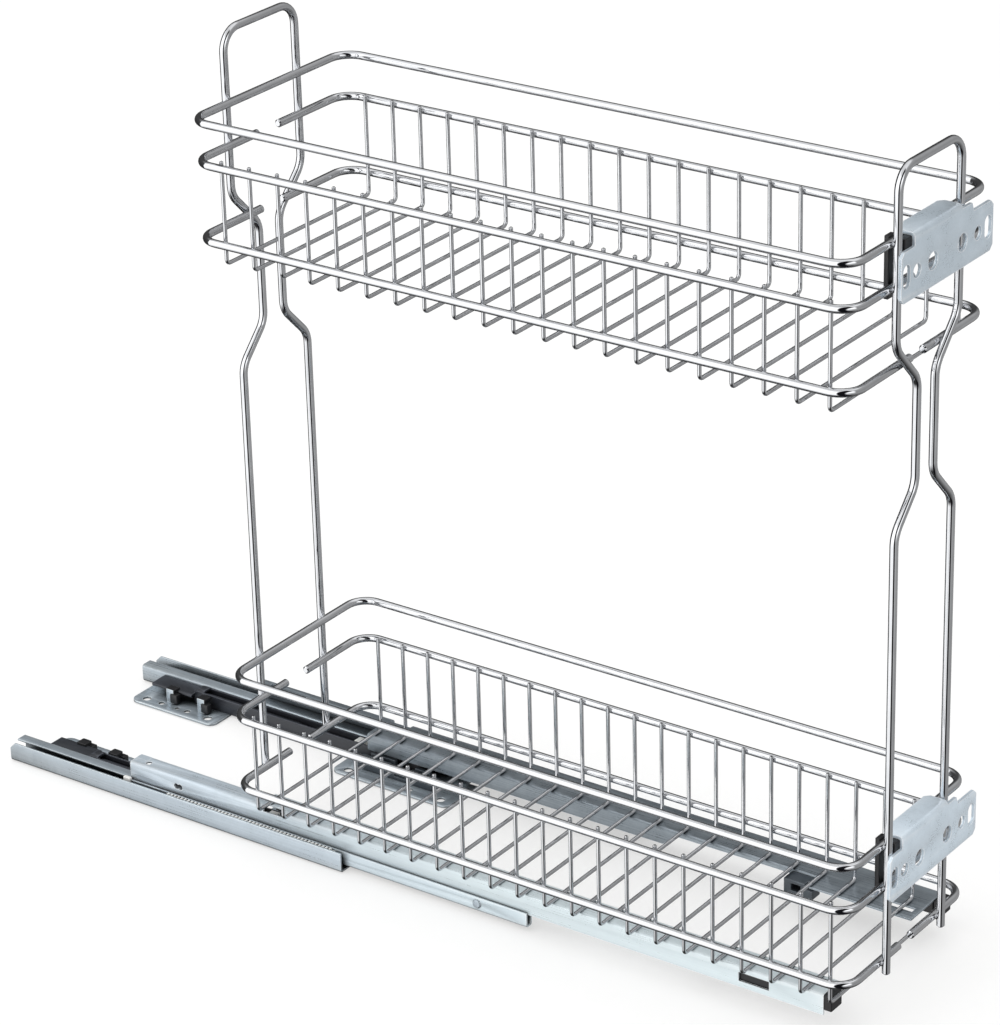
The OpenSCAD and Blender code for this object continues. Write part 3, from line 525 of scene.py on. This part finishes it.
# Lengths along X
TOOTH, TOOTH_PITCH, TEETH_BEHIND, SHADE_STRIP_BEHIND = 1.4, 2.8, 26, 27
TAB_AT, CAP_BEHIND, CAP_AHEAD = (24.0, 51.0), 0.7, 6.7
TONGUE_LEN, TONGUE_BACK, PLUG_GAP, PLUG_LEN = 60, 0.5, 0.05, 5.5
NUB_BEHIND, NUB_AHEAD = 4.5, 1.5
for name in ("near", "far"):
    lo, hi = box_mm(name + "_outer_cage")
    sides = across(name, *TEETH_SIDE)
    starts = np.arange(lo[0] - TEETH_BEHIND, hi[0] - TOOTH, TOOTH_PITCH)
    teeth = [bar(x, x + TOOTH, sides, TEETH_Z) for x in starts]
    moulded.append(blocks(name + "_comb_teeth", teeth, name + "_outer_cage_set",
                          "white_plastic", 0.2))
    # The black strip under the teeth is painted shade in the gap between the rails.
    moulded.append(blocks(name + "_comb_shade_strip", [bar(lo[0] - SHADE_STRIP_BEHIND, hi[0], sides, SHADE_STRIP_Z)],
                          name + "_outer_cage_set", "black_plastic", 0.1))
    lo, hi = box_mm(name + "_rear_plate")
    sides = across(name, *CAP_SIDE)
    caps = [bar(lo[0] + x - CAP_BEHIND, lo[0] + x + CAP_AHEAD, sides, CAP_Z) for x in TAB_AT]
    moulded.append(blocks(name + "_tab_caps", caps, "cabinet", "black_plastic", 0.5))
    lo, hi = box_mm(name + "_drawer_rail")
    tongue = bar(hi[0] - TONGUE_LEN, hi[0] - TONGUE_BACK, across(name, *TONGUE_SIDE), TONGUE_Z)
    plug_end = bar(hi[0] + PLUG_GAP, hi[0] + PLUG_LEN, across(name, *PLUG_SIDE), PLUG_Z)
    plug = blocks(name + "_rail_plug", [tongue, plug_end], "carriage", "black_plastic", 0.7)
    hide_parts(name + "_end_plug")
    moulded.append(plug)
    nub = bar(lo[0] - NUB_BEHIND, lo[0] + NUB_AHEAD, across(name, *NUB_SIDE), NUB_Z)
    moulded.append(blocks(name + "_rail_nub", [nub], name + "_middle", "white_plastic", 0.8))
print(len(moulded), "mouldings on the slides")

# %% Filled corner and notch blocks
# The corner's place across, length, depth below the flange's top and rise above it
FILL_SIDE, FILL_LEN, FILL_DEPTH, FILL_PROUD = (58.2, 63.5), 9.4, 1.15, 0.06
# A block's thickness behind the bracket's sheet, and where it starts behind the face
SHEET, NOTCH_THICK, NOTCH_BACK = 2.0, 4.9, 2.1
# Its reach from the near leg, and its lower and upper end below the bracket's top
NOTCH_SIDE, NOTCH_DROP = (0.1, 15), (12.5, 2.1)
lo, hi = box_mm("near_drawer_rail")
fill = bar(lo[0], lo[0] + FILL_LEN, across("near", *FILL_SIDE),
           (hi[2] - FILL_DEPTH, hi[2] + FILL_PROUD))
moulded.append(blocks("near_flange_corner", [fill], "carriage", "zinc_sheet", 0.1))
for tier in ("upper", "lower"):
    lo, hi = box_mm(tier + "_door_bracket")
    leg = BASKET_Y - LEG_SEAT[tier] + RAIL_R
    block = bar(hi[0] - SHEET - NOTCH_THICK, hi[0] - NOTCH_BACK,
                [leg + reach for reach in NOTCH_SIDE], [hi[2] - drop for drop in NOTCH_DROP])
    moulded.append(blocks(tier + "_notch_block", [block], "carriage", "black_plastic", 0.6))
print(len(moulded), "small mouldings")

# %% [markdown]
# ## Shared effects
#
# Four effects return in the finishes: a fine grain that breaks up gloss, long
# streaks left by rolling or drawing, a painted highlight along edges, and painted
# shade in narrow gaps. Each is a node group with named inputs, so a finish only
# chooses its values.

# %% Helpers for node groups
def group(name, inputs):
    """An empty shader group with the named float inputs and one output, Mask."""
    tree = bpy.data.node_groups.new(name, "ShaderNodeTree")
    for label, value in inputs:
        socket = tree.interface.new_socket(label, in_out="INPUT", socket_type="NodeSocketFloat")
        socket.default_value = value
    tree.interface.new_socket("Mask", in_out="OUTPUT", socket_type="NodeSocketFloat")
    return tree, tree.nodes.new("NodeGroupInput"), tree.nodes.new("NodeGroupOutput")


def node(tree, kind, inputs=None, **settings):
    """A node with its settings and its input values or links."""
    made = tree.nodes.new(kind)
    for key, value in settings.items():
        setattr(made, key, value)
    for key, value in (inputs or {}).items():
        if isinstance(value, bpy.types.NodeSocket):
            tree.links.new(value, made.inputs[key])
        else:
            made.inputs[key].default_value = value
    return made


print("helpers for node groups are ready")

# %% Grain and streaks
def grain_group():
    """Two sizes of noise, mixed by `Speckle`: broad patches and a fine speckle."""
    tree, start, end = group("plating_grain", [("Patch Scale", 30.0), ("Speckle Scale", 900.0),
                                               ("Speckle", 0.4)])
    where = node(tree, "ShaderNodeTexCoord").outputs["Object"]
    patch = node(tree, "ShaderNodeTexNoise", {"Vector": where, "Detail": 4.0, "Roughness": 0.6,
                                              "Scale": start.outputs["Patch Scale"]})
    speck = node(tree, "ShaderNodeTexNoise", {"Vector": where, "Detail": 2.0,
                                              "Scale": start.outputs["Speckle Scale"]})
    mixed = node(tree, "ShaderNodeMix", {0: start.outputs["Speckle"], 2: patch.outputs[0],
                                         3: speck.outputs[0]})
    tree.links.new(mixed.outputs[0], end.inputs["Mask"])
    return tree


def streak_group():
    """Noise squeezed across the rolling direction, so it runs in long lines."""
    tree, start, end = group("rolled_streaks", [("Along", 6.0), ("Across", 700.0)])
    where = node(tree, "ShaderNodeTexCoord").outputs["Object"]
    size = node(tree, "ShaderNodeCombineXYZ", {0: start.outputs["Along"],
                                               1: start.outputs["Across"],
                                               2: start.outputs["Across"]})
    scaled = node(tree, "ShaderNodeVectorMath", {0: where, 1: size.outputs[0]},
                  operation="MULTIPLY")
    noise = node(tree, "ShaderNodeTexNoise", {"Vector": scaled.outputs[0], "Scale": 1.0,
                                              "Detail": 3.0})
    tree.links.new(noise.outputs[0], end.inputs["Mask"])
    return tree


GRAIN, STREAKS = grain_group(), streak_group()
print("groups:", GRAIN.name, STREAKS.name)

# %% Painted edge highlight and gap shade
def edge_highlight_group():
    """Painted highlight along edges: how far the normal turns when corners are
    rounded over `Width` metres, one minus their dot product, so flat parts give
    nothing, broken up by noise."""
    tree, start, end = group("handled_edges", [("Width", 0.0006), ("Break Up", 0.5)])
    shape = node(tree, "ShaderNodeNewGeometry")
    rounded = node(tree, "ShaderNodeBevel", {"Radius": start.outputs["Width"]}, samples=4)
    agree = node(tree, "ShaderNodeVectorMath", {0: shape.outputs["True Normal"],
                                                1: rounded.outputs[0]}, operation="DOT_PRODUCT")
    where = node(tree, "ShaderNodeTexCoord").outputs["Object"]
    noise = node(tree, "ShaderNodeTexNoise", {"Vector": where, "Scale": 220.0, "Detail": 3.0})
    band = node(tree, "ShaderNodeMapRange", {"Value": agree.outputs["Value"], "From Min": 0.99,
                                             "From Max": 0.86})
    keep = node(tree, "ShaderNodeMath", {0: noise.outputs[0], 1: start.outputs["Break Up"]},
                operation="ADD", use_clamp=True)
    out = node(tree, "ShaderNodeMath", {0: band.outputs[0], 1: keep.outputs[0]},
               operation="MULTIPLY", use_clamp=True)
    tree.links.new(out.outputs[0], end.inputs["Mask"])
    return tree


def gap_shade_group():
    """Painted shade in narrow gaps: how shut in a point is, the share of short
    rays that hit something, counted from `Start` upwards."""
    tree, start, end = group("closed_gaps", [("Reach", 0.01), ("Start", 0.5)])
    open_sky = node(tree, "ShaderNodeAmbientOcclusion", {"Distance": start.outputs["Reach"]},
                    samples=8)
    shut = node(tree, "ShaderNodeMath", {0: 1.0, 1: open_sky.outputs["AO"]}, operation="SUBTRACT")
    out = node(tree, "ShaderNodeMapRange", {"Value": shut.outputs[0], "From Max": 0.8,
                                            "From Min": start.outputs["Start"]})
    tree.links.new(out.outputs[0], end.inputs["Mask"])
    return tree


EDGE_HIGHLIGHT, GAP_SHADE = edge_highlight_group(), gap_shade_group()
print("groups:", EDGE_HIGHLIGHT.name, GAP_SHADE.name)

# %% [markdown]
# ## Finishes
#
# A finish is a Principled BSDF with a colour that wanders between two close
# tones, a roughness that wanders with it, and a bump so low that only the
# reflections show it. Chrome needs almost no roughness; zinc is a blue-grey
# metal with a soft gloss; nylon and the dark mouldings are not metals at all.

# %% Build the finishes
def effect(tree, shared, **values):
    """A shared group placed in a material with its own values."""
    made = tree.nodes.new("ShaderNodeGroup")
    made.node_tree = shared
    for key, value in values.items():
        made.inputs[key.replace("_", " ")].default_value = value
    return made.outputs["Mask"]


# Width and break-up of the painted edge highlight, reach and start of the painted
# gap shade, in metres and shares, and the most that a finish may drift to its
# third tone, which is painted light
EDGE_WIDTH, EDGE_BREAK = 0.0006, 0.4
GAP_REACH, GAP_START = 0.022, 0.42
FADE_MOST = 0.8


def tint(tree, share, tone, colour):
    """A tone mixed towards a fixed colour by a mask."""
    return node(tree, "ShaderNodeMix", {0: share, 6: tone, 7: (*colour, 1)},
                data_type="RGBA").outputs[2]


def finish(name, dark, light, metal, gloss, grain, streak=None, edge=None, bump=0.0,
           crevice=None, fade=None):
    """Two tones and two roughnesses mixed by the grain and crossed by streaks. The
    tone drifts along X to a third between the two places of `fade`, as painted
    light; edges are lightened towards `edge` as a painted highlight and narrow
    gaps darkened towards `crevice` as painted shade, each where given."""
    material = bpy.data.materials.new(name)
    material.use_nodes = True
    tree = material.node_tree
    shader = tree.nodes["Principled BSDF"]
    mask = effect(tree, GRAIN, **grain)
    if streak:
        lines = effect(tree, STREAKS, **streak)
        mask = node(tree, "ShaderNodeMix", {0: 0.5, 2: mask, 3: lines}).outputs[0]
    spread = node(tree, "ShaderNodeMapRange", {"Value": mask, "From Min": 0.3,
                                               "From Max": 0.7}).outputs[0]
    tone = tint(tree, spread, (*dark, 1), light)
    # Painted light: the tone drifts along X towards a lighter third colour.
    if fade:
        third, fade_start, fade_end = fade
        where = node(tree, "ShaderNodeTexCoord")
        along = node(tree, "ShaderNodeSeparateXYZ", {0: where.outputs["Object"]})
        share = node(tree, "ShaderNodeMapRange", {"Value": along.outputs["X"], "To Max": FADE_MOST,
                                                  "From Min": fade_start, "From Max": fade_end})
        tone = tint(tree, share.outputs[0], tone, third)
    # Painted highlight: edges lightened towards the edge colour.
    if edge:
        edge_highlight = effect(tree, EDGE_HIGHLIGHT, Width=EDGE_WIDTH, Break_Up=EDGE_BREAK)
        tone = tint(tree, edge_highlight, tone, edge)
    # Painted shade: narrow gaps darkened towards the crevice colour.
    if crevice:
        gap = effect(tree, GAP_SHADE, Reach=GAP_REACH, Start=GAP_START)
        tone = tint(tree, gap, tone, crevice)
    rough = node(tree, "ShaderNodeMapRange", {"Value": spread, "To Min": gloss[0],
                                              "To Max": gloss[1]}).outputs[0]
    tree.links.new(tone, shader.inputs["Base Color"])
    tree.links.new(rough, shader.inputs["Roughness"])
    shader.inputs["Metallic"].default_value = metal
    if bump:
        height = node(tree, "ShaderNodeBump", {"Strength": 1.0, "Distance": bump * MM,
                                               "Height": mask})
        tree.links.new(height.outputs[0], shader.inputs["Normal"])
    return material


print("a finish can be built")

# %% Metals
def grained(patch, speckle, share):
    """Values for the grain: the two scales and the share of the speckle."""
    return dict(Patch_Scale=patch, Speckle_Scale=speckle, Speckle=share)


# Dark and light tone of the plating, and where along X the near slide's
# painted light, a drift to a lighter tone, starts and ends
ZINC_DARK, ZINC_LIGHT = (0.36, 0.415, 0.46), (0.52, 0.59, 0.65)
FADE_FROM, FADE_TO = -0.16, 0.04


# The crevice colour is the painted shade that narrow gaps darken to.
def zinc(name, share, metal=0.55, crevice=(0.004, 0.006, 0.008), spread=1.0,
         streak=dict(Along=10.0, Across=900.0), fade=None):
    """Blue-grey zinc plating. Both tones are scaled by `share`, and moved apart
    from their middle by `spread`. The painted edge highlight is 1.9 times the
    light tone."""
    dark, light = np.array(ZINC_DARK) * share, np.array(ZINC_LIGHT) * share
    middle = (dark + light) / 2
    dark, light = (tuple(np.clip(middle + spread * (tone - middle), 0, 1).tolist())
                   for tone in (dark, light))
    return finish(name, dark, light, metal, (0.24, 0.36), grained(55.0, 1600.0, 0.35),
                  streak=streak, edge=tuple(min(1.0, v * 1.9) for v in light), bump=0.004,
                  crevice=crevice, fade=fade)


# The near drawer rail and near middle rail wear lighter copies of the zinc, the lower door bracket
# a lighter copy of the upper one's, and the far drawer rail a darker copy, set by how light falls
# on each: painted light and painted shade. The near slide's drift along X to a lighter third tone
# is painted light as well.
FINISH = {
    "chrome_wire": finish("polished_chrome", (0.60, 0.61, 0.63), (0.70, 0.71, 0.73), 1.0,
                          (0.03, 0.07), grained(60.0, 1400.0, 0.15), bump=0.006),
    "zinc_sheet": zinc("blue_zinc", 0.92, spread=1.3),
    "pale_zinc": zinc("pale_zinc", 1.14, metal=0.27, spread=1.3,
                      fade=((0.72, 0.81, 0.83), FADE_FROM, FADE_TO)),
    "middle_zinc": zinc("middle_zinc", 1.05, metal=0.27, spread=1.3,
                        fade=((0.58, 0.67, 0.71), FADE_FROM, FADE_TO)),
    "shaded_zinc": zinc("shaded_zinc", 0.52, spread=2.4),
    "bracket_zinc": zinc("bracket_zinc", 1.22, metal=0.35, crevice=None, spread=0.8,
                         streak=None),
    "bright_bracket_zinc": zinc("bright_bracket_zinc", 1.45, metal=0.3, crevice=None,
                                spread=0.8, streak=None),
}
print(len(FINISH), "metals")

# %% Mouldings and drawn steel
# Below, each edge colour is a painted highlight and each crevice colour painted shade.
FINISH.update({
    "black_plastic": finish("black_moulding", (0.004, 0.004, 0.005), (0.010, 0.010, 0.012), 0.0,
                            (0.35, 0.5), grained(80.0, 2400.0, 0.6), bump=0.01),
    "grey_plastic": finish("grey_moulding", (0.03, 0.04, 0.05), (0.06, 0.075, 0.09), 0.0,
                           (0.35, 0.48), grained(80.0, 2400.0, 0.6), edge=(0.22, 0.25, 0.28),
                           bump=0.01, crevice=(0.01, 0.012, 0.015)),
    "white_plastic": finish("white_nylon", (0.74, 0.74, 0.71), (0.86, 0.86, 0.84), 0.0,
                            (0.32, 0.42), grained(80.0, 2400.0, 0.5), bump=0.008),
    "dark_plastic": finish("violet_grey_moulding", (0.014, 0.016, 0.021), (0.030, 0.034, 0.043),
                           0.0, (0.35, 0.5), grained(40.0, 2000.0, 0.4),
                           streak=dict(Along=8.0, Across=500.0), edge=(0.12, 0.13, 0.16),
                           bump=0.01, crevice=(0.006, 0.006, 0.008)),
    "bright_steel": finish("drawn_steel", (0.55, 0.56, 0.58), (0.7, 0.71, 0.72), 1.0,
                           (0.15, 0.25), grained(90.0, 1500.0, 0.3),
                           streak=dict(Along=12.0, Across=1200.0), bump=0.003),
})
print(len(FINISH), "finishes")

# %% Coat the pieces


def coat_with(obj, material):
    """Give an object one finish in its only slot."""
    obj.data.materials.clear()
    obj.data.materials.append(material)


for obj in chrome_pieces:
    coat_with(obj, FINISH["chrome_wire"])
# Pieces whose zinc is a painted-light or painted-shade copy, and the filled corner in the brackets'
# zinc.
ZINC_OF = {"near_drawer_rail": "pale_zinc", "near_flange_corner": "bracket_zinc",
           "near_middle_rail": "middle_zinc", "far_drawer_rail": "shaded_zinc",
           "upper_door_bracket": "bracket_zinc", "lower_door_bracket": "bright_bracket_zinc"}
for name, obj in finished.items():
    coat_with(obj, FINISH[ZINC_OF.get(name, SLOT_OF[name])])
for obj in moulded:
    coat_with(obj, FINISH[ZINC_OF.get(obj.name, MOULDED_SLOT[obj.name])])
print(len(chrome_pieces) + len(finished) + len(moulded), "pieces coated")

# %% [markdown]
# ## Floor and light
#
# Chrome has no look of its own: it shows the room. A plain white room makes it
# vanish, so a product studio puts white cloth where the wire should shine and
# leaves the room dark where it should draw a line. Here one large lamp, the white
# backdrop and the paper floor light the object softly, while mirror rays look
# into a studio of their own: a bright near side, a dark far side, and a floor
# that falls off to black. Light Path tells the two kinds of ray apart.

# %% Paper floor
FLOOR_HALF, FLOOR_Z = 12, -0.0005
floor_mesh = bpy.data.meshes.new("studio_floor")
floor_mesh.from_pydata([(x, y, FLOOR_Z) for x, y in ((-FLOOR_HALF, -FLOOR_HALF),
                                                     (FLOOR_HALF, -FLOOR_HALF),
                                                     (FLOOR_HALF, FLOOR_HALF),
                                                     (-FLOOR_HALF, FLOOR_HALF))],
                       [], [(0, 1, 2, 3)])
floor = bpy.data.objects.new("studio_floor", floor_mesh)
bpy.context.scene.collection.objects.link(floor)
paper = bpy.data.materials.new("pale_paper")
paper.use_nodes = True
paper_inputs = paper.node_tree.nodes["Principled BSDF"].inputs
paper_inputs["Base Color"].default_value = (0.46, 0.46, 0.46, 1)
paper_inputs["Emission Color"].default_value = (1.0, 0.995, 0.985, 1)
paper_inputs["Emission Strength"].default_value = 0.52
paper_inputs["Roughness"].default_value = 0.9
floor_mesh.materials.append(paper)
floor.visible_glossy = False
print("paper floor is laid")

# %% Brightness by height
room = bpy.data.worlds.new("studio_room")
room.use_nodes = True
bpy.context.scene.world = room
tree = room.node_tree
where = node(tree, "ShaderNodeTexCoord")
axis = node(tree, "ShaderNodeSeparateXYZ", {0: where.outputs["Generated"]})


def levels(steps):
    """A ramp of greys over the height, -1 to 1, from pairs of place and
    brightness. The brightness is stored at half size, so that it may go up to
    two."""
    place = node(tree, "ShaderNodeMapRange", {"Value": axis.outputs["Z"], "From Min": -1.0,
                                              "From Max": 1.0})
    ramp = node(tree, "ShaderNodeValToRGB", {0: place.outputs[0]})
    for i, (at, level) in enumerate(steps):
        step = ramp.color_ramp.elements[i] if i < 2 else ramp.color_ramp.elements.new(1.0)
        step.position = (at + 1) / 2
        step.color = (level / 2, level / 2, level / 2, 1)
    return ramp.outputs[0]


near_left = levels([(-1.0, 0.03), (-0.8, 0.05), (-0.66, 0.6), (-0.5, 1.3), (0.0, 1.8),
                    (0.7, 1.7), (0.86, 0.95)])
near_right = levels([(-1.0, 0.03), (-0.6, 0.16), (-0.42, 0.55), (-0.2, 0.5), (0.0, 0.9),
                     (0.3, 1.8), (0.86, 0.95)])
far_left = levels([(-1.0, 0.03), (0.0, 0.05), (0.5, 0.08), (0.66, 0.3), (0.8, 1.0)])
far_right = levels([(-1.0, 0.03), (-0.42, 0.42), (0.0, 0.36), (0.3, 0.4), (0.66, 0.5),
                    (0.82, 1.1)])
print("four walls by height")

# %% Walls joined round the room
# Where, along X, the dark line ends, the near walls and the far walls meet, and the
# room turns; and where, along the turned Y, near passes into far
LINE_END, NEAR_MEET, FAR_MEET = (0.7, 0.82), (0.25, 0.34), (-0.35, 0.1)
TURN_AT, TURN_BY, NEAR_TO_FAR = (-0.9, -0.75), 0.4, (-0.52, -0.36)
DARK_LINE = (0.004, 0.004, 0.005, 1)
MIRROR_STRENGTH, BACKDROP, BACKDROP_STRENGTH = 2.0, (0.985, 0.99, 0.995, 1), 1.02


def side_step(value, ends):
    """0 before the first of `ends`, 1 after the second, smooth between."""
    return node(tree, "ShaderNodeMapRange", {"Value": value, "From Min": ends[0],
                                             "From Max": ends[1]},
                interpolation_type="SMOOTHSTEP").outputs[0]


def blend(value, ends, before, after):
    """`before` below the first of `ends` and `after` above the second."""
    return node(tree, "ShaderNodeMix", {0: side_step(value, ends), 6: before, 7: after},
                data_type="RGBA").outputs[2]


across_x = axis.outputs["X"]
near_side = blend(across_x, NEAR_MEET, near_left, blend(across_x, LINE_END, DARK_LINE, near_right))
far_side = blend(across_x, FAR_MEET, far_left, far_right)
turned = node(tree, "ShaderNodeMath", {0: side_step(across_x, TURN_AT), 1: TURN_BY},
              operation="MULTIPLY")
edge_y = node(tree, "ShaderNodeMath", {0: axis.outputs["Y"], 1: turned.outputs[0]},
              operation="SUBTRACT")
studio = tree.nodes["Background"]
studio.inputs["Strength"].default_value = MIRROR_STRENGTH
tree.links.new(blend(edge_y.outputs[0], NEAR_TO_FAR, near_side, far_side),
               studio.inputs["Color"])
rays = node(tree, "ShaderNodeLightPath")
backdrop = node(tree, "ShaderNodeBackground", {"Color": BACKDROP, "Strength": BACKDROP_STRENGTH})
seen = node(tree, "ShaderNodeMixShader", {0: rays.outputs["Is Glossy Ray"],
                                          1: backdrop.outputs[0], 2: studio.outputs[0]})
tree.links.new(seen.outputs[0], tree.nodes["World Output"].inputs["Surface"])
print("studio for mirror rays is set")


# %% Lamp
def soft_box(name, place, aim, size, power):
    """A square area light at a place, turned towards a point."""
    light = bpy.data.lights.new(name, "AREA")
    light.shape = "RECTANGLE"
    light.size, light.size_y = size
    light.energy = power
    obj = bpy.data.objects.new(name, light)
    z = np.array(place, float) - np.array(aim, float)
    z /= np.linalg.norm(z)
    x = np.cross([0, 0, 1.0], z)
    x /= np.linalg.norm(x)
    rows = np.column_stack([x, np.cross(z, x), z, place])
    obj.matrix_world = Matrix([list(r) for r in rows] + [[0, 0, 0, 1]])
    bpy.context.scene.collection.objects.link(obj)
    return obj


KEY_PLACE, KEY_AIM, KEY_SIZE, KEY_WATTS = (-0.5, -1.7, 2.5), (0, 0, 0.2), (2.0, 2.0), 22
key = soft_box("key_box", KEY_PLACE, KEY_AIM, KEY_SIZE, KEY_WATTS)
key.visible_glossy = False
bpy.context.scene.view_settings.view_transform = "Standard"
print("studio is lit")
